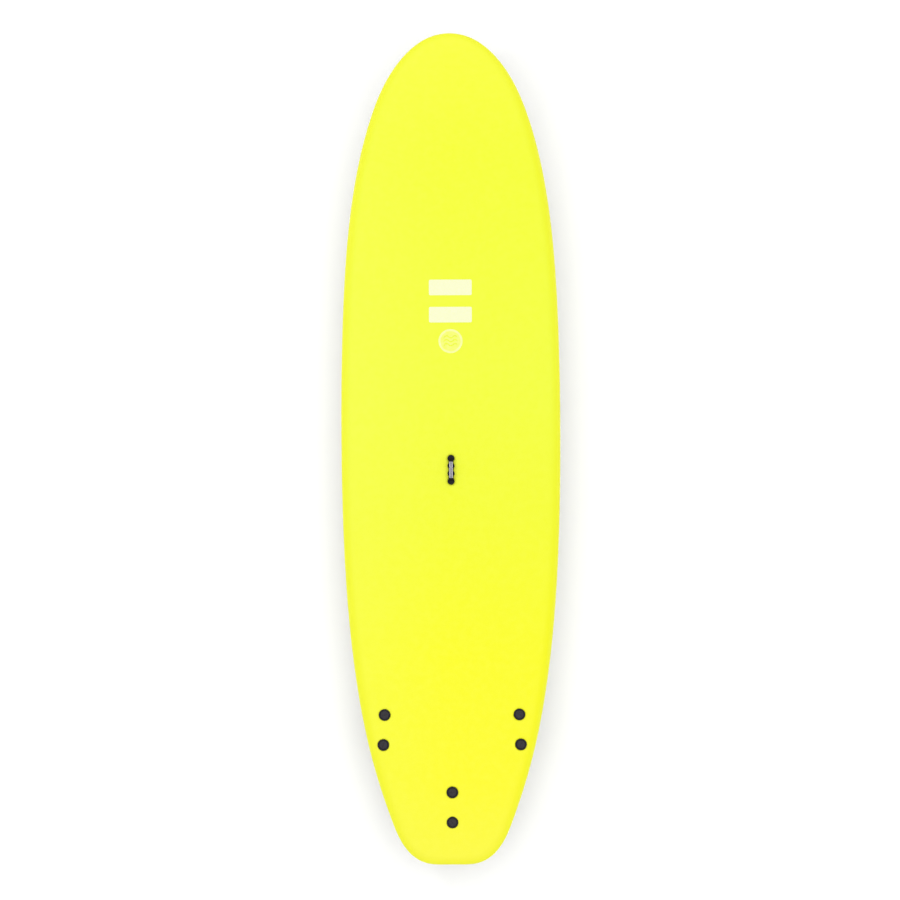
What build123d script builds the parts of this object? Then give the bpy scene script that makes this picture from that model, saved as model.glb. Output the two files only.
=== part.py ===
"""Seven-foot soft-top surfboard with three bolt-through fins and a deck handle.

All sizes are in millimetres. X runs across the board, +Y points to the nose and
+Z points up out of the deck. Z = 0 is level with the tips of the side fins, and
Y = 0 is halfway along the board. Every node is written to its own STEP file.
"""

import os
from math import atan2, cos, degrees, pi, radians, sin

from build123d import *

# ---- plan shape of the board ------------------------------------------------
board_length = 2134.0
half_length = board_length / 2
# (half width, distance forward of the middle), from nose to tail
stations = [
    (64.0, 1051.0),
    (126.0, 999.0),
    (205.0, 844.0),
    (251.5, 639.0),
    (277.0, 331.0),
    (281.8, 35.0),
    (274.4, -285.0),
    (246.0, -593.0),
    (205.2, -799.0),
    (156.0, -953.0),
    (112.0, -1035.0),
    (80.0, -1058.5),
    (40.0, -1067.0),
]
block_height = 320.0  # height of the prism that the hull is cut from

# ---- side shape of the board ------------------------------------------------
ride_height = 104.0  # lowest line of the hull above the side fin tips
middle_thickness = 76.0
tip_thickness = 42.0
nose_rocker = 112.0
tail_rocker = 38.0
nose_rocker_start = 80.0
tail_rocker_start = -250.0
deck_peak_y = -300.0
deck_crown = 7.0
belly_round = 3.0
round_reference = 280.0  # half width over which the crown and belly are measured
belly_flat = 0.5  # height of the flat patch cut along the keel line

# ---- rail shape: each reach is how far the rounding runs in from the edge ------
deck_reach = 30.0
belly_reach = 22.0
rail_power = 2.4
widest_share = 0.42  # height of the widest line, as a share of the thickness
rail_steps = 6
centre_share = 0.9  # how far the cross lines fan out along the middle

# ---- hull layers: (inset, deck drop, belly lift) -----------------------------
skin_outside = (0.0, 0.0, 0.0)
skin_inside = (5.0, 5.0, 1.5)
laminate_outside = (5.15, 5.15, 1.65)
laminate_inside = (6.15, 6.15, 2.65)
core_outside = (6.3, 6.3, 2.8)
seam_inset = 14.0  # where the slick bottom skin meets the wrapped deck skin
seam_gap = 0.3
stringer_x = 62.0
stringer_thickness = 6.0
glue_gap = 0.1

# ---- fin bolts --------------------------------------------------------------
side_front_bolt = (173.2, -681.5)
side_rear_bolt = (176.8, -758.6)
centre_front_bolt = (0.0, -881.0)
centre_rear_bolt = (0.0, -958.2)
slot_angles = {
    "left_front": 20.0,
    "left_rear": 75.0,
    "right_front": -35.0,
    "right_rear": 60.0,
    "centre_front": 5.0,
    "centre_rear": -50.0,
}
cup_flange_radius = 15.0
cup_flange_top = 1.8
cup_flange_seat = 0.6
cup_body_radius = 13.5
cup_body_depth = 8.0
cup_barrel_radius = 9.0
cup_barrel_depth = 29.0
cup_recess_radius = 11.7
cup_recess_depth = 3.5
cup_bore_radius = 4.4
sleeve_flange_radius = 13.0
sleeve_flange_height = 3.0
sleeve_bore_radius = 7.08
washer_inner_radius = 4.6
washer_outer_radius = 8.5
washer_thickness = 1.6
screw_head_radius = 11.3
screw_dome_edge = 1.6
screw_dome_top = 3.2
screw_shank_radius = 4.0
screw_length = 42.0  # from the deck down to the screw's end
slot_length = 16.0
slot_width = 2.2
slot_depth = 2.6

# ---- fins -------------------------------------------------------------------
post_radius = 7.0
post_top_depth = 30.0  # from the deck down to the post's top
insert_outer_radius = 5.0
insert_bore_radius = 4.05
insert_length = 13.0
insert_start = 0.4
fin_gap = 0.3  # between the hull and the pad of a fin
pad_thickness = 4.0
pad_width = 17.0
pad_length = 124.0
fin_thickness = 9.0
side_cant = 6.0  # degrees
centre_tip_z = 6.0
# (share of the depth, leading edge, trailing edge, share of the thickness)
fin_sections = [
    (-0.25, 59.0, -58.0, 1.0),
    (0.0, 57.0, -57.0, 1.0),
    (0.22, 44.0, -51.0, 0.9),
    (0.45, 25.0, -50.0, 0.76),
    (0.68, -1.0, -55.0, 0.62),
    (0.86, -27.0, -64.0, 0.5),
    (0.96, -48.0, -72.0, 0.42),
    (1.0, -62.0, -75.0, 0.34),
]
# (share of the chord behind the leading edge, share of the half thickness)
foil_shape = [(0.05, 0.5), (0.18, 0.85), (0.4, 1.0), (0.7, 0.7), (0.93, 0.3)]

# ---- carry handle -----------------------------------------------------------
handle_y = -52.5
handle_lobe_radius = 9.15
handle_lobe_offsets = (-29.3, -9.8, 9.8, 29.3)
handle_neck_width = 13.0
handle_band = 5.0
handle_high = 10.5  # middle of the band over the grip, above the deck
handle_low = 5.2  # middle of the band at its ends
handle_rim = 1.2  # rounding of the upper edges
handle_neck_blend = 1.4
grip_half = 22.0
span_end = 31.0
span_cut = 0.15
handle_pad_height = 2.5
anchor_radius = 7.0
anchor_flange_radius = 8.8
anchor_depth = 32.0
stem_radius = 4.0
stem_depth = 26.0
inlay_width = 8.0
inlay_length = 42.0
inlay_depth = 0.8

# ---- deck graphics ----------------------------------------------------------
bar_width = 110.0
bar_height = 40.0
bar_corner = 4.0
bar_front_y = 415.8
bar_rear_y = 345.9
emblem_y = 278.0
emblem_radius = 31.0
graphic_top = 0.25
graphic_depth = 0.6
graphic_gap = 0.05


# ---- the hull's surfaces ----------------------------------------------------
def bottom_z(x, y):
    """Height of the hull's underside."""
    rise = 0.0
    if y > nose_rocker_start:
        share = (y - nose_rocker_start) / (half_length - nose_rocker_start)
        rise = nose_rocker * share**3
    if y < tail_rocker_start:
        share = (tail_rocker_start - y) / (half_length + tail_rocker_start)
        rise = tail_rocker * share**3
    return ride_height + rise + belly_round * (x / round_reference) ** 2


def deck_z(x, y):
    """Height of the deck."""
    if y > deck_peak_y:
        share = (y - deck_peak_y) / (half_length - deck_peak_y)
        climb = nose_rocker + tip_thickness - middle_thickness
    else:
        share = (deck_peak_y - y) / (half_length + deck_peak_y)
        climb = tail_rocker + tip_thickness - middle_thickness
    crown = deck_crown * (x / round_reference) ** 2
    return ride_height + middle_thickness + climb * share**2.8 - crown


def middle_z(x, y):
    """Height halfway through the hull."""
    return (bottom_z(x, y) + deck_z(x, y)) / 2


def sheet(height, offset=0.0):
    """Smooth surface at a height function plus an offset, wider than the board."""
    rows = []
    for i in range(9):
        x = -330.0 + 660.0 * i / 8
        row = []
        for k in range(21):
            y = -half_length - 50.0 + (board_length + 100.0) * k / 20
            row.append(Vector(x, y, height(x, y) + offset))
        rows.append(row)
    return Face.make_surface_from_array_of_points(rows)


def above(solid, surface):
    """The part of a solid over a surface."""
    pieces = split(solid, bisect_by=surface, keep=Keep.BOTH).solids()
    return max(pieces, key=lambda piece: piece.center().Z)


def below(solid, surface):
    """The part of a solid under a surface."""
    pieces = split(solid, bisect_by=surface, keep=Keep.BOTH).solids()
    return min(pieces, key=lambda piece: piece.center().Z)


def rail_curve():
    """Closed plan curve of the board, from the nose round the right-hand rail."""
    points = [(0.0, half_length)] + stations + [(0.0, -half_length)]
    points += [(-x, y) for x, y in stations[::-1]]
    return Spline(*[Vector(x, y) for x, y in points], periodic=True)


def plan_block(inset):
    """Upright prism of the plan shape moved in by an inset."""
    rail = rail_curve()
    moved = []
    right = [(0.0, half_length)] + stations + [(0.0, -half_length)]
    for point in right + [(-x, y) for x, y in stations[::-1]]:
        along = rail.tangent_at(rail.param_at_point(point))
        moved.append(Vector(*point) + Vector(along.Y, -along.X) * inset)
    edge = Spline(*moved, periodic=True)
    return extrude(Face(Wire([edge])), amount=block_height, dir=(0, 0, 1))


def rail_places():
    """(x, y) and inward direction at each cross line of the right-hand half."""
    rail = rail_curve()
    marks = [(0.0, half_length)] + stations + [(0.0, -half_length)]
    turns = [0.0] + [rail.param_at_point(mark) for mark in marks[1:]]
    shares = []
    for near, far in zip(turns, turns[1:]):
        shares += [near, (near + far) / 2]
    places = [((0.0, half_length), (0.0, -1.0))]
    for share in shares[1:]:
        point = rail.position_at(share)
        along = rail.tangent_at(share)
        places.append(((point.X, point.Y), (along.Y, -along.X)))
    places.append(((0.0, -half_length), (0.0, 1.0)))
    return places


def cross_line(place, inward, inset, deck_drop, belly_lift):
    """Points over the deck, round the rail and under the belly, middle to middle."""
    px, py = place
    nx, ny = inward
    middle_y = py * centre_share
    widest = bottom_z(px, py) + widest_share * (deck_z(px, py) - bottom_z(px, py))
    halves = []
    for reach, height, offset in (
        (deck_reach, deck_z, -deck_drop),
        (belly_reach, bottom_z, belly_lift),
    ):
        inner_x = px + nx * reach
        inner_y = py + ny * reach
        points = []
        for share in (0.0, 0.2, 0.4, 0.6, 0.8, 0.93):
            x = inner_x * share
            y = middle_y + (inner_y - middle_y) * share
            points.append(Vector(x, y, height(x, y) + offset))
        for step in range(rail_steps, -1, -1):
            angle = pi / 2 * step / rail_steps
            across = 1.0 if step == rail_steps else 1 - cos(angle) ** (2 / rail_power)
            depth = inset + (reach - inset) * across
            x = px + nx * depth
            y = py + ny * depth
            rise = sin(angle) ** (2 / rail_power)
            points.append(Vector(x, y, widest + (height(x, y) + offset - widest) * rise))
        halves.append(points)
    deck_half, belly_half = halves
    return deck_half + belly_half[-2::-1]


def hull(inset, deck_drop, belly_lift):
    """Solid board with rounded rails, shrunk to one layer of the hull."""
    rows = []
    for place, inward in rail_places():
        rows.append(cross_line(place, inward, inset, deck_drop, belly_lift))
    spacing = []
    for row in rows:
        steps = [0.0]
        for near, far in zip(row, row[1:]):
            steps.append(steps[-1] + (far - near).length)
        spacing.append([step / steps[-1] for step in steps])
    shared = [sum(column) / len(spacing) for column in zip(*spacing)]
    lines = [Wire([Edge.make_spline(row, parameters=shared)]) for row in rows]
    right = Shell.make_loft(lines, False).faces()[0]
    return Solid(Shell([right, mirror(right, Plane.YZ)]))


# ---- small helpers ----------------------------------------------------------
def one(shape):
    """The single solid in a result."""
    solids = shape.solids()
    if len(solids) != 1:
        raise ValueError(f"expected one solid, got {len(solids)}")
    return solids[0]


def disc(x, y, radius, low, high):
    """Upright cylinder between two heights."""
    height = high - low
    return Pos(x, y, (low + high) / 2) * Cylinder(radius, height)


def stack(x, y, steps):
    """Upright cylinders of (radius, low, high) joined on one axis."""
    body = None
    for radius, low, high in steps:
        piece = disc(x, y, radius, low, high)
        body = piece if body is None else body + piece
    return body


def block(x0, x1, y0, y1, z0, z1):
    """Box between two corners."""
    centre = Pos((x0 + x1) / 2, (y0 + y1) / 2, (z0 + z1) / 2)
    return centre * Box(x1 - x0, y1 - y0, z1 - z0)


# ---- fin bolts --------------------------------------------------------------
def bolt_places():
    """Name and (x, y) of each fin bolt."""
    places = {}
    for side, sign in (("left", -1), ("right", 1)):
        places[f"{side}_front"] = (sign * side_front_bolt[0], side_front_bolt[1])
        places[f"{side}_rear"] = (sign * side_rear_bolt[0], side_rear_bolt[1])
    places["centre_front"] = centre_front_bolt
    places["centre_rear"] = centre_rear_bolt
    return places


def bolt_hole(x, y):
    """Stepped hole through the hull that takes the cup and the sleeve."""
    top = deck_z(x, y)
    foot = bottom_z(x, y)
    steps = [
        (cup_barrel_radius + glue_gap, foot - 20, top - cup_body_depth),
        (cup_body_radius + glue_gap, top - cup_body_depth - glue_gap, top),
        (cup_flange_radius + glue_gap, top - cup_flange_seat - glue_gap, top + 20),
        (sleeve_flange_radius + glue_gap, foot - 20, foot + sleeve_flange_height),
    ]
    return stack(x, y, steps)


def deck_cup(x, y):
    """Flanged cup that takes the screw's head."""
    top = deck_z(x, y)
    rim = top + cup_flange_top
    steps = [
        (cup_barrel_radius, top - cup_barrel_depth, top - cup_body_depth),
        (cup_body_radius, top - cup_body_depth, top - cup_flange_seat),
        (cup_flange_radius, top - cup_flange_seat, rim),
    ]
    cup = stack(x, y, steps)
    edge = cup.faces().sort_by(Axis.Z)[-1].edges()
    cup = fillet(edge, 1.1)
    cup -= disc(x, y, cup_recess_radius, top - cup_recess_depth, rim + 1)
    cup -= disc(x, y, cup_bore_radius, top - cup_barrel_depth - 1, rim)
    lip = cup.edges().filter_by(GeomType.CIRCLE)
    lip = lip.filter_by(lambda e: abs(e.radius - cup_recess_radius) < 0.01)
    return one(fillet(lip.sort_by(Axis.Z)[-1:], 0.5))


def fin_sleeve(x, y, belly):
    """Lining of the hole that guides a fin's post."""
    top = deck_z(x, y) - cup_barrel_depth - 0.05
    foot = bottom_z(x, y)
    steps = [
        (cup_barrel_radius, foot - 5, top),
        (sleeve_flange_radius, foot - 5, foot + sleeve_flange_height - glue_gap),
    ]
    sleeve = stack(x, y, steps) - disc(x, y, sleeve_bore_radius, foot - 6, top + 1)
    return above(one(sleeve), belly)


def sealing_washer(x, y):
    """Flat rubber ring under a screw's head."""
    seat = deck_z(x, y) - cup_recess_depth
    low = seat + glue_gap
    high = low + washer_thickness
    ring = disc(x, y, washer_outer_radius, low, high)
    ring = fillet(ring.edges().filter_by(GeomType.CIRCLE), 0.35)
    return one(ring - disc(x, y, washer_inner_radius, low - 1, high + 1))


def fin_screw(x, y, angle):
    """Domed coin-slot screw."""
    top = deck_z(x, y)
    head_low = top - cup_recess_depth + glue_gap + washer_thickness + glue_gap
    edge = top + screw_dome_edge
    dome = top + screw_dome_top
    radius = screw_head_radius
    side = [(0, head_low), (radius, head_low), (radius, edge)]
    profile = Polyline(*side) + ThreePointArc(
        (radius, edge), (radius * 0.55, edge + (dome - edge) * 0.72), (0, dome)
    )
    profile += Line((0, dome), (0, head_low))
    head = revolve(Plane.XZ * make_face(profile), Axis.Z)
    rim = head.edges().filter_by(lambda e: abs(e.center().Z - edge) < 0.01)
    rim = rim.filter_by(lambda e: e.length > 2 * radius)
    head = fillet(rim, 0.6)
    slot = Rot(0, 0, angle) * Box(slot_length, slot_width, 2 * slot_depth)
    head -= Pos(0, 0, dome) * slot
    shank = disc(0, 0, screw_shank_radius, top - screw_length, head_low + 1)
    shank = chamfer(shank.faces().sort_by(Axis.Z)[0].edges(), 1.2)
    return one(Pos(x, y, 0) * (head + shank))


# ---- fins -------------------------------------------------------------------
def foil(lead, trail, thickness):
    """Closed section of a fin, with its chord along Y."""
    chord = lead - trail
    half = thickness / 2
    right = [(half * wide, lead - share * chord) for share, wide in foil_shape]
    left = [(-x, y) for x, y in right[::-1]]
    points = [(0, lead)] + right + [(0, trail)] + left
    return Wire([Spline(*points, periodic=True)])


def fin_body(x, y, turn, lean, tip_z, belly):
    """Foiled blade and pad of one fin, without its pockets."""
    root_z = bottom_z(x, y)
    depth = root_z - tip_z
    rings = []
    for share, lead, trail, thick in fin_sections:
        ring = foil(lead, trail, fin_thickness * thick)
        z = root_z - share * depth
        shift = max(share, 0.0) * depth * lean
        rings.append(Pos(shift, 0, z) * Face(ring))
    blade = Pos(x, y, 0) * Rot(0, 0, turn) * loft(rings)
    blade = below(one(blade), sheet(bottom_z, -fin_gap))
    shape = Rot(0, 0, 90) * SlotOverall(pad_length, pad_width)
    pad = Pos(x, y, 0) * Rot(0, 0, turn) * extrude(shape, amount=block_height)
    pad = below(above(one(pad), sheet(bottom_z, -fin_gap - pad_thickness)), belly)
    return one(blade + pad)


def fin_core(x, y, turn, bolts, skew):
    """Stiff tang with two posts, moulded into a fin."""
    root_z = bottom_z(x, y)
    place = Pos(x, y, 0) * Rot(0, 0, turn)
    rib = extrude(Rot(0, 0, 90) * SlotOverall(100, 9), amount=block_height)
    rib = above(one(place * rib), sheet(bottom_z, -fin_gap - 3.1))
    tang = place * block(-2.1 + skew, 2.1 + skew, -24, 38, root_z - 28, root_z + 20)
    core = below(rib + tang, sheet(bottom_z, -fin_gap - 1.1))
    for bolt_x, bolt_y in bolts:
        low = bottom_z(bolt_x, bolt_y) - fin_gap - 2.0
        top = deck_z(bolt_x, bolt_y) - post_top_depth
        post = disc(bolt_x, bolt_y, post_radius, low, top)
        post = chamfer(post.faces().sort_by(Axis.Z)[-1].edges(), 0.8)
        socket = insert_length + insert_start + 0.1
        core += post
        core -= disc(bolt_x, bolt_y, insert_outer_radius, top - socket, top + 1)
        core -= disc(bolt_x, bolt_y, insert_bore_radius + 0.4, top - 16, top + 1)
    return one(core)


def brass_insert(x, y):
    """Threaded insert in the top of a post."""
    high = deck_z(x, y) - post_top_depth - insert_start
    low = high - insert_length
    tube = disc(x, y, insert_outer_radius - 0.04, low, high)
    return one(tube - disc(x, y, insert_bore_radius, low - 1, high + 1))


# ---- carry handle -----------------------------------------------------------
def handle_plan():
    """Lobed plan shape of the handle about its own middle."""
    shape = Rectangle(handle_neck_width, 2 * handle_lobe_offsets[-1])
    for offset in handle_lobe_offsets:
        shape += Pos(0, offset) * Circle(handle_lobe_radius)
    necks = shape.vertices().filter_by(lambda v: abs(v.X) > 5)
    return fillet(necks, handle_neck_blend)


def band_line(deck, side):
    """Half of the band's middle line as (y, z) points, from grip to end."""
    bend = (span_end - grip_half - 1) / 4
    drop = handle_high - handle_low
    points = []
    for share in (0, 1, 2, 3, 4):
        y = grip_half + 0.5 + share * bend
        z = deck + handle_high - drop * (1 - cos(pi * share / 4)) / 2
        points.append((side * y, z))
    return points


def handle_band_block(deck):
    """Bent strip with a flat grip, wider than the lobes."""
    rows = []
    for lift in (handle_band / 2, -handle_band / 2):
        edges = []
        for side in (-1, 1):
            points = [(y, z + lift) for y, z in band_line(deck, side)]
            outer = (side * 45.0, points[-1][1])
            bend = Spline(*points, tangents=[(side, 0), (side, 0)])
            edges.append((points[0], outer, bend))
        rows.append(edges)
    lines = []
    for edges in rows:
        lines.append(Line(edges[0][0], edges[1][0]))
        for start, outer, bend in edges:
            lines.append(bend)
            lines.append(Line(bend @ 1, outer))
    for side in (0, 1):
        lines.append(Line(rows[0][side][1], rows[1][side][1]))
    profile = Face(Wire(lines))
    strip = Plane.YZ * profile
    return extrude(strip, amount=15, both=True)


def handle_strip(deck):
    """Whole moulded strip of the handle before it is cut into spans."""
    column = extrude(handle_plan(), amount=block_height)
    strip = one(column & handle_band_block(deck))
    rim = strip.edges().filter_by(lambda e: e.center().Z > deck + handle_low + 2.2)
    rim = rim.filter_by(lambda e: abs(e.center().X) > 1 or abs(e.center().Y) > 34)
    strip = fillet(rim, handle_rim)
    return one(Pos(0, handle_y, 0) * strip)


def handle_piece(strip, low, high):
    """Slice of the strip between two distances from the handle's middle."""
    y0 = handle_y + low
    y1 = handle_y + high
    return one(strip & block(-20, 20, y0, y1, 0, block_height))


def handle_end(strip, side, deck_sheet):
    """Fixed end of the handle: pad, stem and the strip's end."""
    y = handle_y + side * handle_lobe_offsets[-1]
    deck = deck_z(0, handle_y + handle_lobe_offsets[-1])
    low, high = sorted((side * (span_end + span_cut), side * 60))
    tip = handle_piece(strip, low, high)
    pad = disc(0, y, handle_lobe_radius, deck - 4, deck + handle_pad_height)
    pad = above(one(pad), deck_sheet)
    post_y0, post_y1 = sorted((y + side * 3.5, y + side * 9))
    riser = block(-5, 5, post_y0, post_y1, deck + 1, deck + handle_low)
    riser = riser & disc(0, y, handle_lobe_radius - 0.4, deck, deck + handle_low)
    stem = disc(0, y, stem_radius, deck_z(0, y) - stem_depth, deck + 1)
    return one(tip + pad + riser + stem)


def handle_anchor(y):
    """Flanged plug in the core that holds a handle end's stem."""
    top = deck_z(0, y) - 0.1
    plug = stack(0, y, [(anchor_radius, top - anchor_depth, top - 2)])
    plug += disc(0, y, anchor_flange_radius, top - 2, top)
    return one(plug - disc(0, y, stem_radius + 0.05, top - stem_depth - 1, top + 1))


def anchor_hole(y):
    """Stepped hole in the hull for a handle anchor."""
    top = deck_z(0, y) - 0.1
    hole = disc(0, y, anchor_radius + glue_gap, top - anchor_depth - glue_gap, top)
    return hole + disc(0, y, anchor_flange_radius + glue_gap, top - 2.1, top + 20)


# ---- deck graphics ----------------------------------------------------------
def bar_face():
    """Rounded rectangle of a deck bar."""
    return RectangleRounded(bar_width, bar_height, bar_corner)


def wave_slot(offset):
    """Wave-shaped stroke across the emblem."""
    line = Spline((-17, offset - 2), (-8, offset + 3), (2, offset - 2), (9, offset + 3), (17, offset))
    return make_face(offset_2d_stroke(line))


def offset_2d_stroke(line):
    """Outline of a 3 mm stroke along a line."""
    upper = Spline(*[line @ (i / 8) + Vector(0, 1.5) for i in range(9)])
    lower = Spline(*[line @ (i / 8) - Vector(0, 1.5) for i in range(9)])
    ends = [Line(upper @ 0, lower @ 0), Line(upper @ 1, lower @ 1)]
    return Wire([upper, lower] + ends)


def emblem_face():
    """Disc with three plain wave strokes cut through it."""
    face = Circle(emblem_radius)
    for offset in (-10, 0, 10):
        face -= wave_slot(offset)
    return face


def inlay_in_deck(face, y, top_sheet, low_sheet):
    """Thin piece of a plan shape that follows the deck."""
    column = extrude(Pos(0, y) * face, amount=block_height)
    return above(below(one(column), top_sheet), low_sheet)


# ---- the assembly -----------------------------------------------------------
def make_hull(parts):
    """Skins, laminates, stringers and foam core, with all their holes."""
    outside = hull(*skin_outside)
    flat = block(-400, 400, -1200, 1200, 0, ride_height + belly_flat)
    outside = one(outside - flat)
    skin = outside - hull(*skin_inside)
    laminate = one(hull(*laminate_outside)) - hull(*laminate_inside)
    core = one(hull(*core_outside))

    holes = [bolt_hole(x, y) for x, y in bolt_places().values()]
    for side in (-1, 1):
        holes.append(anchor_hole(handle_y + side * handle_lobe_offsets[-1]))

    def bored(solid):
        for hole in holes:
            solid = solid - hole
        return one(solid)

    middle = sheet(middle_z)
    inside_seam = below(one(plan_block(seam_inset)), middle)
    outside_seam = below(one(plan_block(seam_inset - seam_gap)), middle)
    parts["bottom_skin"] = bored(skin & inside_seam)
    deck_skin = one(skin - outside_seam)
    graphic_low = sheet(deck_z, -graphic_depth - graphic_gap)
    for y, face in graphic_pockets():
        column = extrude(Pos(0, y) * face, amount=block_height)
        deck_skin = one(deck_skin - above(one(column), graphic_low))
    parts["deck_skin"] = bored(deck_skin)

    parts["deck_laminate"] = bored(above(one(laminate), middle))
    parts["bottom_laminate"] = bored(below(one(laminate), sheet(middle_z, -0.2)))

    inner = stringer_x - stringer_thickness / 2
    outer = stringer_x + stringer_thickness / 2
    strips = {
        "core_left": (-400, -outer - glue_gap),
        "stringer_left": (-outer, -inner),
        "core_centre": (-inner + glue_gap, inner - glue_gap),
        "stringer_right": (inner, outer),
        "core_right": (outer + glue_gap, 400),
    }
    for name, (x0, x1) in strips.items():
        parts[name] = bored(core & block(x0, x1, -1200, 1200, 0, 400))


def graphic_pockets():
    """(y, plan shape) of each shallow pocket in the deck skin."""
    bar = RectangleRounded(
        bar_width + 2 * graphic_gap, bar_height + 2 * graphic_gap, bar_corner
    )
    return [
        (bar_front_y, bar),
        (bar_rear_y, bar),
        (emblem_y, Circle(emblem_radius + graphic_gap)),
    ]


def make_graphics(parts):
    """Two pale bars and a round emblem let into the deck."""
    top = sheet(deck_z, graphic_top)
    low = sheet(deck_z, -graphic_depth)
    parts["deck_bar_front"] = inlay_in_deck(bar_face(), bar_front_y, top, low)
    parts["deck_bar_rear"] = inlay_in_deck(bar_face(), bar_rear_y, top, low)
    parts["deck_emblem"] = inlay_in_deck(emblem_face(), emblem_y, top, low)


def make_bolts(parts):
    """Cup, sleeve, washer and screw of every fin bolt."""
    belly = sheet(bottom_z)
    for name, (x, y) in bolt_places().items():
        parts[f"deck_cup_{name}"] = deck_cup(x, y)
        parts[f"fin_sleeve_{name}"] = fin_sleeve(x, y, belly)
        parts[f"sealing_washer_{name}"] = sealing_washer(x, y)
        parts[f"fin_screw_{name}"] = fin_screw(x, y, slot_angles[name])


def make_fins(parts):
    """Blade, tang and brass inserts of every fin."""
    belly = sheet(bottom_z, -fin_gap)
    places = bolt_places()
    for name, sign in (("left", -1), ("centre", 0), ("right", 1)):
        bolts = [places[f"{name}_front"], places[f"{name}_rear"]]
        (x1, y1), (x2, y2) = bolts
        turn = degrees(atan2(x2 - x1, y1 - y2))
        x = (x1 + x2) / 2
        y = (y1 + y2) / 2
        lean = sign * sin(radians(side_cant))
        tip_z = 0.0 if sign else centre_tip_z
        core = fin_core(x, y, turn, bolts, lean * 14)
        body = fin_body(x, y, turn, lean, tip_z, belly)
        parts[f"fin_blade_{name}"] = one(body - core)
        parts[f"fin_tang_{name}"] = core
        for end, (bolt_x, bolt_y) in zip(("front", "rear"), bolts):
            parts[f"fin_insert_{name}_{end}"] = brass_insert(bolt_x, bolt_y)


def make_handle(parts):
    """Grip, flexible spans, fixed ends, anchors and pale inlay."""
    deck = deck_z(0, handle_y + handle_lobe_offsets[-1])
    strip = handle_strip(deck)
    deck_sheet = sheet(deck_z, 0.05)
    top = deck + handle_high + handle_band / 2
    inlay = RectangleRounded(inlay_width, inlay_length, 1.5)
    inlay = extrude(Pos(0, handle_y, top - inlay_depth) * inlay, amount=inlay_depth + 0.3)
    grip = handle_piece(strip, -grip_half, grip_half)
    parts["handle_grip"] = one(grip - inlay)
    parts["handle_inlay"] = one(inlay)
    for name, side in (("rear", -1), ("front", 1)):
        near = side * (grip_half + span_cut)
        low, high = sorted((near, side * span_end))
        parts[f"handle_span_{name}"] = handle_piece(strip, low, high)
        parts[f"handle_end_{name}"] = handle_end(strip, side, deck_sheet)
        anchor_y = handle_y + side * handle_lobe_offsets[-1]
        parts[f"handle_anchor_{name}"] = handle_anchor(anchor_y)


def main():
    """Build every node and write it."""
    parts = {}
    make_hull(parts)
    make_graphics(parts)
    make_bolts(parts)
    make_fins(parts)
    make_handle(parts)
    os.makedirs("parts", exist_ok=True)
    for name, solid in parts.items():
        solid.label = name
        export_step(solid, f"parts/{name}.step")


main()
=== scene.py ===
"""A yellow soft-top surfboard with three bolt-through fins and a webbing carry handle, seen from above its deck."""

import math

import bmesh
import bpy
import numpy as np
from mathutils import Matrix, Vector


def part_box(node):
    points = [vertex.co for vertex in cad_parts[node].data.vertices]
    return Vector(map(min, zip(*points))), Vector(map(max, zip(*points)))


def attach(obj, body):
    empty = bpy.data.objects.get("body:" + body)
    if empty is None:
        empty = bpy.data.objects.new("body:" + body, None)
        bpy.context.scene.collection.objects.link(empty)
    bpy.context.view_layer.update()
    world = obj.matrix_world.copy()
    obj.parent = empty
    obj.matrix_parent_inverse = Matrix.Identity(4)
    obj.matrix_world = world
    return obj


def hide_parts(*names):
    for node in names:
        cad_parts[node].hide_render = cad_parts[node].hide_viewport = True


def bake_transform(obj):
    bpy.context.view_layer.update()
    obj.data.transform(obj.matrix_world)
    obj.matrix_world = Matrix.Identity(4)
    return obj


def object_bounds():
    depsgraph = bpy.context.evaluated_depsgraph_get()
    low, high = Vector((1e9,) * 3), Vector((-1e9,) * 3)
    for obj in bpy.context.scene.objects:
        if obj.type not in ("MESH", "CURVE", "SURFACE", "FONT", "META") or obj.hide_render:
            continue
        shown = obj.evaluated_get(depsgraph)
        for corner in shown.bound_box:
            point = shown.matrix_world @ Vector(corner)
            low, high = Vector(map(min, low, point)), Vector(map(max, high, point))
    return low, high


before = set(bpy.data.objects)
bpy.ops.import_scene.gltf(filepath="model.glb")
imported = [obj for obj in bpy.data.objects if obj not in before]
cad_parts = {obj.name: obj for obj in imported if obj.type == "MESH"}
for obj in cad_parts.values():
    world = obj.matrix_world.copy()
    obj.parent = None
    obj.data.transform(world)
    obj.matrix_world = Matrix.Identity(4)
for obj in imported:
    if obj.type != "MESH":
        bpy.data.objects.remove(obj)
cad_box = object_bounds()

BOLTS = ("left_front", "left_rear", "right_front", "right_rear", "centre_front", "centre_rear")
FINS = ("left", "centre", "right")
ENDS = ("front", "rear")

# sizes are in metres, scales of patterns are per metre and angles are in degrees

# the foam skin
skin_voxel = 0.0035  # the mesh's spacing
skin_smoothing = 12  # passes that take the CAD's facets out of the skin
skin_easing = 0.2  # the strength of each pass
skin_sharp_angle = 60.0
foam_grain = 520.0

# the seam under the rail
seam_bead_radius = 0.0012
seam_bead_points = 900
seam_bead_sides = 10
seam_evening = 3  # passes that take the kinks out of its line
seam_rim = 0.93  # wall faces nearer the board's middle than this share of its half size aren't the seam's
seam_steepness = 0.3  # nor are faces whose normal rises or falls more than this
bolt_clearance = 0.02  # nor are faces nearer than this to a bolt's axis

# the handle
web_voxel = 0.0005
web_sharp_angle = 40.0
dash_groups = (4, 8)
dash_share = 0.88  # a mark's length as a share of the marks' spacing
dash_width = 0.0032
dash_rise = 0.00025
dash_edge = 0.0001
break_line = (0.92, 0.35)  # share of the strip's width, share of the marks' spacing

# CAD pieces that keep their shape
sharp_angle = 32.0
sheet_sharp_angle = 50.0  # the bottom sheet's

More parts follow.
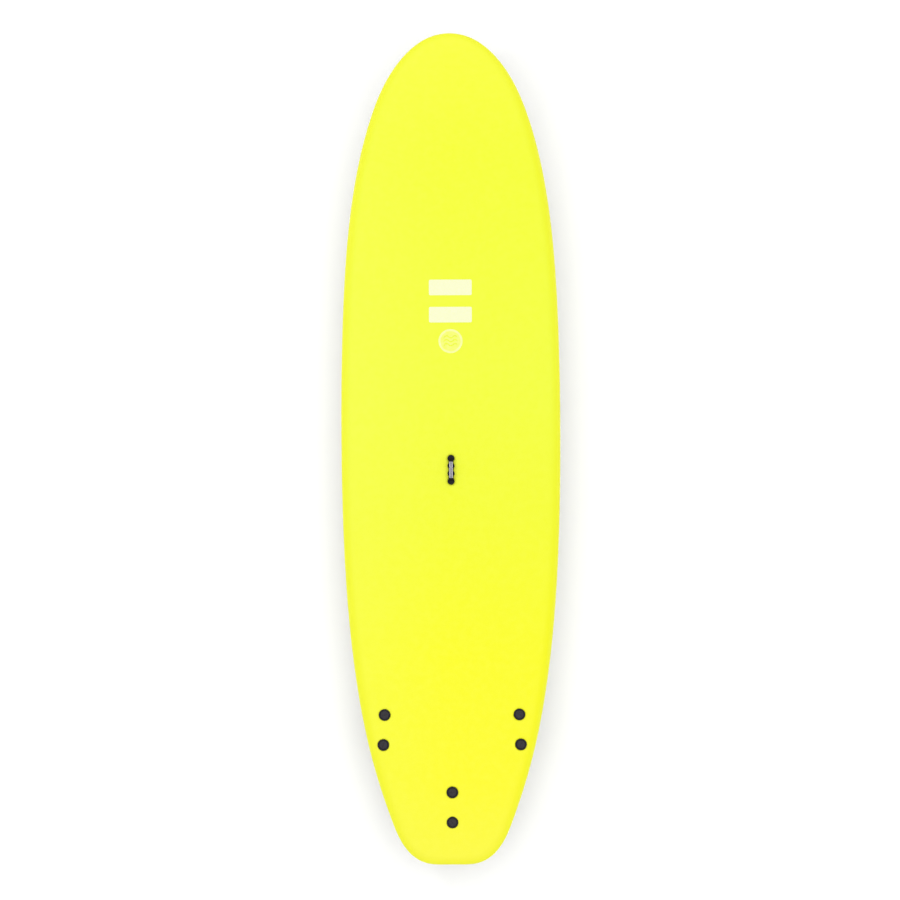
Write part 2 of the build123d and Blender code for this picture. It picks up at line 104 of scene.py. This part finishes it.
# the stage and the light
floor_size = 60.0
floor_drop = 0.045  # the fins slide down past the level of their tips, so the floor is lower
sky_strength = 0.5
sun_strength = 2.15
sun_spread = 70.0
sun_tilt = 2.5
softbox_size = (0.4, 0.5)
softbox_power = 16.0
softbox_place = (-2.2, 1.4, 3.6)

# the camera over the deck
deck_level = 0.15
view_height = 30.0
view_span = 2.3135  # what the frame's side covers at the rails
view_roll = -0.24
aim_offset = (-0.0024, -0.0015)
sensor_width = 36.0


# ---- nodes of a material


class Shader:
    """A principled material and the short calls that its patterns are made of."""

    def __init__(self, name, roughness=0.5, metallic=0.0, specular=0.5, color=None):
        self.material = bpy.data.materials.new(name)
        self.material.use_nodes = True
        self.tree = self.material.node_tree
        self.surface = self.tree.nodes["Principled BSDF"]
        self.surface.inputs["Roughness"].default_value = roughness
        self.surface.inputs["Metallic"].default_value = metallic
        self.surface.inputs["Specular IOR Level"].default_value = specular
        if color:
            self.surface.inputs["Base Color"].default_value = (*color, 1.0)
            self.material.diffuse_color = (*color, 1.0)
        self.place = self.tree.nodes.new("ShaderNodeTexCoord").outputs["Object"]

    def link(self, source, target):
        self.tree.links.new(source, target)

    def scaled(self, x, y, z):
        mapping = self.tree.nodes.new("ShaderNodeMapping")
        mapping.inputs["Scale"].default_value = (x, y, z)
        self.link(self.place, mapping.inputs["Vector"])
        return mapping.outputs["Vector"]

    def noise(self, scale, detail=4.0, roughness=0.55, place=None):
        node = self.tree.nodes.new("ShaderNodeTexNoise")
        node.inputs["Scale"].default_value = scale
        node.inputs["Detail"].default_value = detail
        node.inputs["Roughness"].default_value = roughness
        self.link(place or self.place, node.inputs["Vector"])
        return node.outputs["Fac"]

    def cells(self, scale, feature="F1"):
        node = self.tree.nodes.new("ShaderNodeTexVoronoi")
        node.feature = feature
        node.inputs["Scale"].default_value = scale
        self.link(self.place, node.inputs["Vector"])
        return node.outputs["Distance"]

    def wave(self, scale, axis="X", distortion=0.0):
        node = self.tree.nodes.new("ShaderNodeTexWave")
        node.bands_direction = axis
        node.inputs["Scale"].default_value = scale
        node.inputs["Distortion"].default_value = distortion
        node.inputs["Detail"].default_value = 3.0
        self.link(self.place, node.inputs["Vector"])
        return node.outputs["Fac"]

    def axis(self, name):
        node = self.tree.nodes.new("ShaderNodeSeparateXYZ")
        self.link(self.place, node.inputs["Vector"])
        return node.outputs[name]

    def facing(self, name):
        """One component of the surface normal in the object's own axes."""
        coordinates = self.tree.nodes.new("ShaderNodeTexCoord")
        node = self.tree.nodes.new("ShaderNodeSeparateXYZ")
        self.link(coordinates.outputs["Normal"], node.inputs["Vector"])
        return node.outputs[name]

    def distance(self, point):
        node = self.tree.nodes.new("ShaderNodeVectorMath")
        node.operation = "DISTANCE"
        node.inputs[1].default_value = point
        self.link(self.place, node.inputs[0])
        return node.outputs["Value"]

    def product(self, a, b):
        node = self.tree.nodes.new("ShaderNodeMath")
        node.operation = "MULTIPLY"
        self.link(a, node.inputs[0])
        self.link(b, node.inputs[1])
        return node.outputs["Value"]

    def spread(self, value, low, high, to_low=0.0, to_high=1.0):
        node = self.tree.nodes.new("ShaderNodeMapRange")
        node.clamp = True
        for name, number in (("From Min", low), ("From Max", high), ("To Min", to_low), ("To Max", to_high)):
            node.inputs[name].default_value = number
        self.link(value, node.inputs["Value"])
        return node.outputs["Result"]

    def ramp(self, value, *stops):
        node = self.tree.nodes.new("ShaderNodeValToRGB")
        band = node.color_ramp
        while len(band.elements) < len(stops):
            band.elements.new(0.5)
        for element, (position, color) in zip(band.elements, stops):
            element.position = position
            element.color = (*color, 1.0)
        self.link(value, node.inputs["Fac"])
        return node.outputs["Color"]

    def mix(self, factor, a, b):
        node = self.tree.nodes.new("ShaderNodeMix")
        node.data_type = "RGBA"
        sockets = [node.inputs["Factor"], *(s for s in node.inputs if s.name in "AB" and s.type == "RGBA")]
        for socket, value in zip(sockets, (factor, a, b)):
            if isinstance(value, bpy.types.NodeSocket):
                self.link(value, socket)
            else:
                socket.default_value = value if socket.type == "VALUE" else (*value, 1.0)
        return next(s for s in node.outputs if s.type == "RGBA")

    def color(self, value):
        self.link(value, self.surface.inputs["Base Color"])

    def roughness(self, value):
        self.link(value, self.surface.inputs["Roughness"])

    def bump(self, height, depth, strength=1.0, after=None):
        node = self.tree.nodes.new("ShaderNodeBump")
        node.inputs["Distance"].default_value = depth
        node.inputs["Strength"].default_value = strength
        self.link(height, node.inputs["Height"])
        if after:
            self.link(after, node.inputs["Normal"])
        self.link(node.outputs["Normal"], self.surface.inputs["Normal"])
        return node.outputs["Normal"]


# ---- materials


def along_board(shader):
    """0 at the tail's tip, 1 at the nose's."""
    low, high = hull_box
    return shader.spread(shader.axis("Y"), low.y, high.y)


def across_board(shader):
    """0 at the left rail, 1 at the right."""
    low, high = hull_box
    return shader.spread(shader.axis("X"), low.x, high.x)


def foam_bump(shader):
    """Pebbled closed-cell foam: round grains over a slow hand-laid unevenness."""
    grain = shader.cells(foam_grain, "SMOOTH_F1")
    fine = shader.noise(1900.0, 3.0, 0.6)
    slow = shader.noise(9.0, 2.0, 0.4)
    first = shader.bump(slow, 0.0012, 0.35)
    second = shader.bump(grain, 0.0005, 0.32, first)
    return shader.bump(fine, 0.0002, 0.25, second)


def deck_foam():
    """Bright yellow foam, a little greener in the middle and more orange towards the tail, with painted light:
    paler towards the left rail and brighter on the steep rails.
    """
    shader = Shader("deck_foam", 0.62, specular=0.3)
    length = shader.ramp(
        along_board(shader),
        (0.0, (0.800, 0.775, 0.040)),
        (0.10, (0.810, 0.790, 0.014)),
        (0.25, (0.795, 0.800, 0.007)),
        (0.42, (0.740, 0.795, 0.020)),
        (0.60, (0.722, 0.800, 0.034)),
        (0.85, (0.735, 0.800, 0.022)),
        (1.0, (0.770, 0.800, 0.036)),
    )
    # painted light: the left half is mixed towards a paler, greener yellow, strongest at the left rail, for light
    # falling from the left
    painted_left_light = shader.mix(shader.spread(across_board(shader), 0.0, 0.5, 0.5, 0.0), length, (0.74, 0.79, 0.065))
    blotch = shader.spread(shader.noise(5.0, 3.0, 0.5), 0.35, 0.65, 0.0, 0.12)
    mottled = shader.mix(blotch, painted_left_light, (0.77, 0.77, 0.022))
    pores = shader.spread(shader.cells(foam_grain), 0.0, 0.7, 0.10, 0.0)
    pored = shader.mix(pores, mottled, (0.64, 0.66, 0.01))
    # painted light: faces that turn steeply down at the rails get a brighter, more saturated yellow, standing in
    # for the light that the rounded rails lose
    level = shader.facing("Z")
    side = shader.spread(level, 0.25, 0.97, 1.0, 0.0)
    shader.color(shader.mix(side, pored, (0.94, 0.96, 0.004)))
    shader.roughness(shader.spread(shader.noise(60.0), 0.3, 0.7, 0.54, 0.70))
    foam_bump(shader)
    return shader.material


def welded_seam():
    """The foam's edge, melted smooth where it is rolled down on the bottom sheet."""
    shader = Shader("welded_seam", 0.4)
    worn = shader.spread(shader.noise(140.0, 5.0), 0.45, 0.7, 0.0, 0.6)
    shader.color(shader.mix(worn, (0.70, 0.66, 0.02), (0.56, 0.52, 0.03)))
    shader.roughness(shader.spread(shader.noise(90.0), 0.3, 0.7, 0.3, 0.5))
    shader.bump(shader.noise(260.0, 3.0), 0.0004, 0.6)
    return shader.material


def bottom_slick():
    """Smooth white polyethylene sheet with faint scuffs along the board."""
    shader = Shader("bottom_slick", 0.3)
    shader.surface.inputs["Coat Weight"].default_value = 0.15
    shader.surface.inputs["Coat Roughness"].default_value = 0.2
    drawn = shader.scaled(220.0, 5.0, 60.0)
    scuffs = shader.noise(1.0, 6.0, 0.65, drawn)
    haze = shader.noise(4.0, 4.0, 0.5)
    tint = shader.mix(shader.spread(haze, 0.3, 0.7), (0.80, 0.80, 0.775), (0.76, 0.765, 0.75))
    shader.color(shader.mix(shader.spread(scuffs, 0.6, 0.75, 0.0, 0.5), tint, (0.64, 0.64, 0.62)))
    shader.roughness(shader.spread(scuffs, 0.4, 0.75, 0.2, 0.5))
    waves = shader.bump(shader.noise(14.0, 2.0), 0.0015, 0.25)
    shader.bump(scuffs, 0.0002, 0.3, waves)
    return shader.material


def emblem_print():
    """The round mark's thin ink: nearly the foam's yellow inside a paler rim."""
    shader = Shader("emblem_print", 0.55, specular=0.3)
    low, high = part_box("deck_emblem")
    radius = (high.x - low.x) / 2
    from_middle = shader.distance((low + high) / 2)
    rim = shader.spread(from_middle, 0.80 * radius, 0.86 * radius)
    patchy = shader.spread(shader.noise(90.0, 4.0, 0.7), 0.35, 0.7)
    inside = shader.mix(patchy, (0.75, 0.79, 0.17), (0.74, 0.79, 0.08))
    outside = shader.mix(patchy, (0.77, 0.79, 0.36), (0.76, 0.79, 0.22))
    shader.color(shader.mix(rim, inside, outside))
    shader.roughness(shader.spread(shader.noise(80.0), 0.3, 0.7, 0.45, 0.6))
    foam_bump(shader)
    return shader.material


def pale_print(name, color, ink):
    """Cream ink on the foam: the foam's grain shows through, and the ink thins in its pores."""
    shader = Shader(name, 0.55, specular=0.3)
    pores = shader.spread(shader.cells(foam_grain), 0.0, 0.6, 0.35, 0.0)
    thin = shader.spread(shader.noise(300.0, 4.0, 0.7), 0.45, 0.75, 0.0, 0.35)
    yellow = (0.74, 0.78, 0.10)
    covered = shader.mix(thin, color, ink)
    shader.color(shader.mix(pores, covered, yellow))
    shader.roughness(shader.spread(shader.noise(80.0), 0.3, 0.7, 0.45, 0.6))
    foam_bump(shader)
    return shader.material


def moulded_nylon(name, color, dull, roughness):
    """Glass-filled nylon with a fine spark-eroded grain and rubbed patches."""
    shader = Shader(name, roughness, specular=0.2)
    rubbed = shader.spread(shader.noise(180.0, 6.0, 0.7), 0.5, 0.72, 0.0, 0.7)
    speckle = shader.spread(shader.noise(1500.0, 2.0), 0.4, 0.65, 0.0, 0.35)
    base = shader.mix(rubbed, color, dull)
    shader.color(shader.mix(speckle, base, dull))
    shader.roughness(shader.spread(shader.noise(240.0), 0.3, 0.7, roughness - 0.08, roughness + 0.12))
    grain = shader.bump(shader.cells(1400.0), 0.0002, 0.3)
    shader.bump(shader.noise(60.0, 2.0), 0.0005, 0.2, grain)
    return shader.material


def fin_rubber():
    """Dense flexible moulding: swirls of the melt, a fine grain and chalky rubs here and there."""
    shader = Shader("fin_rubber", 0.42, specular=0.45)
    swirl = shader.wave(14.0, "Z", 9.0)
    rub = shader.spread(shader.noise(70.0, 7.0, 0.7), 0.52, 0.72, 0.0, 0.8)
    base = shader.mix(shader.spread(swirl, 0.2, 0.9), (0.011, 0.011, 0.0125), (0.018, 0.018, 0.020))
    shader.color(shader.mix(rub, base, (0.045, 0.045, 0.048)))
    shader.roughness(shader.spread(rub, 0.0, 0.8, 0.36, 0.6))
    grain = shader.bump(shader.cells(900.0), 0.0002, 0.25)
    shader.bump(shader.noise(35.0, 2.0), 0.0008, 0.25, grain)
    return shader.material


def handle_rubber():
    """Matte over-moulded rubber with a stippled grain."""
    shader = Shader("handle_rubber", 0.6, specular=0.2)
    dust = shader.spread(shader.noise(220.0, 5.0, 0.6), 0.48, 0.75, 0.0, 0.6)
    shader.color(shader.mix(dust, (0.004, 0.0035, 0.005), (0.014, 0.012, 0.016)))
    shader.roughness(shader.spread(shader.noise(500.0), 0.3, 0.7, 0.5, 0.72))
    stipple = shader.bump(shader.cells(2200.0), 0.00025, 0.5)
    shader.bump(shader.noise(120.0, 2.0), 0.0004, 0.2, stipple)
    return shader.material


def handle_web():
    """Ribbed black rubber where the handle's band bends."""
    shader = Shader("handle_web", 0.58, specular=0.2)
    ribs = shader.wave(150.0, "Y")
    shader.color(shader.mix(ribs, (0.003, 0.003, 0.004), (0.010, 0.009, 0.012)))
    shader.roughness(shader.spread(shader.noise(500.0), 0.3, 0.7, 0.5, 0.7))
    raised = shader.bump(ribs, 0.0003, 0.6)
    shader.bump(shader.cells(2200.0), 0.0002, 0.4, raised)
    return shader.material


def seal_rubber():
    """Soft black ring rubber with a talc bloom."""
    shader = Shader("seal_rubber", 0.7, specular=0.3)
    bloom = shader.spread(shader.noise(400.0, 5.0), 0.5, 0.8, 0.0, 0.5)
    shader.color(shader.mix(bloom, (0.014, 0.014, 0.015), (0.07, 0.07, 0.07)))
    shader.bump(shader.noise(900.0, 3.0), 0.0002, 0.4)
    return shader.material


def grey_inlay():
    """Pale grey strip set in the handle, with a satin drawn finish."""
    shader = Shader("grey_inlay", 0.45)
    drawn = shader.noise(1.0, 5.0, 0.6, shader.scaled(1500.0, 60.0, 300.0))
    shader.color(shader.mix(shader.spread(drawn, 0.3, 0.7), (0.44, 0.42, 0.46), (0.56, 0.54, 0.58)))
    shader.roughness(shader.spread(drawn, 0.3, 0.7, 0.35, 0.55))
    shader.bump(drawn, 0.0001, 0.4)
    return shader.material


def dash_ink():
    """Dark raised marks on the strip."""
    shader = Shader("dash_ink", 0.5)
    worn = shader.spread(shader.noise(900.0, 4.0), 0.5, 0.75, 0.0, 0.4)
    shader.color(shader.mix(worn, (0.010, 0.008, 0.012), (0.045, 0.040, 0.050)))
    shader.bump(shader.noise(1500.0), 0.0001, 0.4)
    return shader.material


def eps_core():
    """Moulded polystyrene: white beads pressed together."""
    shader = Shader("eps_core", 0.75, specular=0.25)
    beads = shader.cells(230.0, "DISTANCE_TO_EDGE")
    shader.color(shader.mix(shader.spread(beads, 0.0, 0.12), (0.66, 0.66, 0.64), (0.82, 0.82, 0.80)))
    shader.roughness(shader.spread(beads, 0.0, 0.3, 0.85, 0.65))
    shader.bump(beads, 0.0012, 0.6)
    return shader.material


def stringer_ply():
    """Plywood: layers through its thickness and long grain."""
    shader = Shader("stringer_ply", 0.6)
    layers = shader.wave(280.0, "X")
    grain = shader.noise(1.0, 8.0, 0.65, shader.scaled(400.0, 9.0, 260.0))
    wood = shader.mix(shader.spread(grain, 0.3, 0.7), (0.42, 0.27, 0.13), (0.62, 0.44, 0.25))
    shader.color(shader.mix(shader.spread(layers, 0.3, 0.7, 0.0, 0.5), wood, (0.36, 0.21, 0.10)))
    shader.bump(grain, 0.0003, 0.5)
    return shader.material


def laminate():
    """Glass cloth in epoxy: a square weave under a clear skin."""
    shader = Shader("laminate", 0.3)
    shader.surface.inputs["Coat Weight"].default_value = 0.6
    shader.surface.inputs["Coat Roughness"].default_value = 0.08
    weave = shader.product(shader.wave(190.0, "X"), shader.wave(190.0, "Y"))
    shader.color(shader.mix(shader.spread(weave, 0.0, 0.8), (0.60, 0.64, 0.56), (0.74, 0.77, 0.70)))
    shader.roughness(shader.spread(weave, 0.0, 1.0, 0.25, 0.45))
    shader.bump(weave, 0.0002, 0.5)
    return shader.material


def insert_brass():
    """Turned brass with a fine spiral of tool marks and a little tarnish."""
    shader = Shader("insert_brass", 0.3, metallic=1.0)
    turned = shader.wave(900.0, "Z", 0.4)
    tarnish = shader.spread(shader.noise(300.0, 5.0), 0.45, 0.75)
    shader.color(shader.mix(tarnish, (0.72, 0.50, 0.20), (0.42, 0.27, 0.11)))
    shader.roughness(shader.spread(tarnish, 0.0, 1.0, 0.22, 0.5))
    shader.bump(turned, 0.0001, 0.5)
    return shader.material


# ---- helpers for meshes


def new_piece(name, mesh):
    piece = bpy.data.objects.new(name, mesh)
    bpy.context.scene.collection.objects.link(piece)
    return piece


def dress(thing, material):
    thing.data.materials.clear()
    thing.data.materials.append(material)


def smooth(mesh, angle=35.0):
    mesh.shade_smooth()
    mesh.set_sharp_from_angle(angle=math.radians(angle))


def evaluated(piece):
    graph = bpy.context.evaluated_depsgraph_get()
    return bpy.data.meshes.new_from_object(piece.evaluated_get(graph))


def remeshed(node, name, voxel):
    """The node's solid again, as one even mesh in a new piece."""
    piece = new_piece(name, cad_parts[node].data.copy())
    modifier = piece.modifiers.new("even", "REMESH")
    modifier.mode = "VOXEL"
    modifier.voxel_size = voxel
    mesh = evaluated(piece)
    piece.modifiers.clear()
    piece.data = mesh
    mesh.name = name
    return piece


# ---- the skins


def dense_skin(node, name, material):
    """A foam skin with an even mesh and the CAD's facets smoothed out of it."""
    piece = remeshed(node, name, skin_voxel)
    modifier = piece.modifiers.new("ease", "LAPLACIANSMOOTH")
    modifier.iterations = skin_smoothing
    modifier.lambda_factor = skin_easing
    modifier.lambda_border = 0.0
    mesh = evaluated(piece)
    piece.modifiers.clear()
    piece.data = mesh
    mesh.name = name
    smooth(mesh, skin_sharp_angle)
    dress(piece, material)
    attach(piece, "hull")
    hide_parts(node)


def seam_line():
    """Points round the lower edge of the bottom sheet's outer wall, evenly turned about the board's middle."""
    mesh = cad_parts["bottom_skin"].data
    low, high = hull_box
    half = np.array([high.x, high.y])
    cups = [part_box("deck_cup_" + n) for n in BOLTS]
    bolts = np.array([((a.x + b.x) / 2, (a.y + b.y) / 2) for a, b in cups])
    lowest = {}
    for polygon in mesh.polygons:
        if abs(polygon.normal.z) > seam_steepness:
            continue
        for index in polygon.vertices:
            point = np.array(mesh.vertices[index].co)
            if np.linalg.norm(point[:2] / half) < seam_rim:
                continue
            if np.linalg.norm(bolts - point[:2], axis=1).min() < bolt_clearance:
                continue
            key = (round(point[0], 4), round(point[1], 4))
            if key not in lowest or point[2] < lowest[key][2]:
                lowest[key] = point
    points = np.array(list(lowest.values()))
    turn = np.arctan2(points[:, 1] / half[1], points[:, 0] / half[0])
    order = np.argsort(turn)
    steps = np.linspace(-math.pi, math.pi, seam_bead_points, endpoint=False)
    line = [np.interp(steps, turn[order], points[order, k], period=2 * math.pi) for k in range(3)]
    return np.array(line).T


def make_seam(material):
    """The foam's melted edge: a thin uneven bead all round, where the deck's foam meets the bottom sheet."""
    line = seam_line()
    for _ in range(seam_evening):
        line = (np.roll(line, 1, 0) + 2 * line + np.roll(line, -1, 0)) / 4
    along = np.roll(line, -1, 0) - np.roll(line, 1, 0)
    along /= np.linalg.norm(along, axis=1)[:, None]
    side = np.cross(along, (0.0, 0.0, 1.0))
    side /= np.linalg.norm(side, axis=1)[:, None]
    up = np.cross(side, along)
    count = len(line)
    beat = np.arange(count) * 2 * math.pi / count
    radius = seam_bead_radius * (1 + 0.06 * np.sin(61 * beat) + 0.05 * np.sin(97 * beat + 1.0))
    rings = []
    for k in range(seam_bead_sides):
        angle = 2 * math.pi * k / seam_bead_sides
        spoke = math.cos(angle) * side + math.sin(angle) * up
        rings.append(line + spoke * radius[:, None])
    vertices = np.stack(rings, axis=1).reshape(-1, 3)
    faces = []
    for i in range(count):
        here, there = i * seam_bead_sides, (i + 1) % count * seam_bead_sides
        for k in range(seam_bead_sides):
            turn = (k + 1) % seam_bead_sides
            faces.append((here + k, here + turn, there + turn, there + k))
    mesh = bpy.data.meshes.new("rail_seam")
    mesh.from_pydata(vertices.tolist(), [], faces)
    mesh.shade_smooth()
    piece = new_piece("rail_seam", mesh)
    dress(piece, material)
    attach(piece, "hull")


# ---- the handle


def make_webs(material):
    """The bands that bend when the grip is lifted: fixed to the hull at one end and to the grip at the other."""
    for place in ENDS:
        node = "handle_span_" + place
        piece = remeshed(node, "handle_web_" + place, web_voxel)
        smooth(piece.data, web_sharp_angle)
        dress(piece, material)
        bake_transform(piece)
        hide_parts(node)


def add_mark(marks, width, length, place, top):
    mark = bmesh.ops.create_cube(marks, size=1.0)["verts"]
    bmesh.ops.scale(marks, vec=(width, length, 2 * dash_rise), verts=mark)
    bmesh.ops.translate(marks, vec=(0.0, place, top), verts=mark)


def make_dashes(material):
    """A broken row of small raised marks down the middle of the grey strip, with a line across at each break."""
    low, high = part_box("handle_inlay")
    marks = bmesh.new()
    spacing = (high.y - low.y) / (sum(dash_groups) + len(dash_groups) - 1)
    place = high.y - spacing / 2
    for group in dash_groups:
        for _ in range(group):
            add_mark(marks, dash_width, dash_share * spacing, place, high.z)
            place -= spacing
        if place > low.y:
            add_mark(marks, break_line[0] * (high.x - low.x), break_line[1] * spacing, place, high.z)
        place -= spacing
    bmesh.ops.bevel(marks, geom=marks.edges[:], offset=dash_edge, segments=2, affect="EDGES")
    mesh = bpy.data.meshes.new("handle_marks")
    marks.to_mesh(mesh)
    marks.free()
    smooth(mesh)
    piece = new_piece("handle_marks", mesh)
    dress(piece, material)
    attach(piece, "grip")


# ---- CAD pieces that keep their shape


def finish_nodes(material, *nodes, angle=sharp_angle):
    for name in nodes:
        dress(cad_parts[name], material)
        smooth(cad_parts[name].data, angle)


# ---- stage, light and camera


def make_floor():
    bpy.ops.mesh.primitive_plane_add(size=floor_size, location=(0, 0, -floor_drop))
    floor = bpy.context.object
    floor.name = "floor"
    shader = Shader("floor", 0.9, color=(0.94, 0.94, 0.94), specular=0.1)
    dress(floor, shader.material)


def make_light():
    world = bpy.context.scene.world or bpy.data.worlds.new("world")
    bpy.context.scene.world = world
    world.use_nodes = True
    sky = world.node_tree.nodes["Background"]
    sky.inputs["Color"].default_value = (1.0, 1.0, 1.0, 1.0)
    sky.inputs["Strength"].default_value = sky_strength
    sun = bpy.data.lights.new("overhead", "SUN")
    sun.energy = sun_strength
    sun.angle = math.radians(sun_spread)
    lamp = bpy.data.objects.new("overhead", sun)
    lamp.rotation_euler = (0.0, math.radians(sun_tilt), 0.0)
    bpy.context.scene.collection.objects.link(lamp)
    box_light = bpy.data.lights.new("softbox", "AREA")
    box_light.shape = "RECTANGLE"
    box_light.size, box_light.size_y = softbox_size
    box_light.energy = softbox_power
    softbox = bpy.data.objects.new("softbox", box_light)
    softbox.location = softbox_place
    aim = Vector((0, 0, deck_level)) - softbox.location
    softbox.rotation_euler = aim.to_track_quat("-Z", "Y").to_euler()
    bpy.context.scene.collection.objects.link(softbox)


def make_camera():
    lens = bpy.data.cameras.new("camera")
    camera = bpy.data.objects.new("camera", lens)
    low, high = cad_box
    camera.location = (
        (low[0] + high[0]) / 2 + aim_offset[0],
        (low[1] + high[1]) / 2 + aim_offset[1],
        view_height,
    )
    camera.rotation_euler = (0.0, 0.0, math.radians(view_roll))
    lens.sensor_width = sensor_width
    lens.lens = sensor_width * (view_height - deck_level) / view_span
    lens.clip_end = 200.0
    bpy.context.scene.collection.objects.link(camera)
    bpy.context.scene.camera = camera


hull_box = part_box("deck_skin")
bpy.context.scene.view_settings.view_transform = "Standard"

nylon = moulded_nylon("black_nylon", (0.004, 0.0035, 0.005), (0.012, 0.010, 0.014), 0.42)
screw = moulded_nylon("screw_nylon", (0.009, 0.007, 0.0115), (0.020, 0.016, 0.024), 0.24)
rubber = handle_rubber()

dense_skin("deck_skin", "deck_foam_skin", deck_foam())
finish_nodes(bottom_slick(), "bottom_skin", angle=sheet_sharp_angle)
finish_nodes(pale_print("bar_print", (0.77, 0.78, 0.53), (0.77, 0.78, 0.44)), "deck_bar_front", "deck_bar_rear")
finish_nodes(emblem_print(), "deck_emblem")
for bolt in BOLTS:
    finish_nodes(nylon, "deck_cup_" + bolt, "fin_sleeve_" + bolt)
    finish_nodes(screw, "fin_screw_" + bolt)
finish_nodes(seal_rubber(), *("sealing_washer_" + bolt for bolt in BOLTS))
finish_nodes(fin_rubber(), *(part + fin for fin in FINS for part in ("fin_blade_", "fin_tang_")))
finish_nodes(insert_brass(), *(f"fin_insert_{fin}_{place}" for fin in FINS for place in ENDS))
finish_nodes(rubber, "handle_grip", "handle_end_front", "handle_end_rear")
finish_nodes(nylon, "handle_anchor_front", "handle_anchor_rear")
finish_nodes(grey_inlay(), "handle_inlay")
finish_nodes(eps_core(), "core_left", "core_centre", "core_right")
finish_nodes(stringer_ply(), "stringer_left", "stringer_right")
finish_nodes(laminate(), "deck_laminate", "bottom_laminate")
make_seam(welded_seam())
make_webs(handle_web())
make_dashes(dash_ink())

make_floor()
make_light()
make_camera()
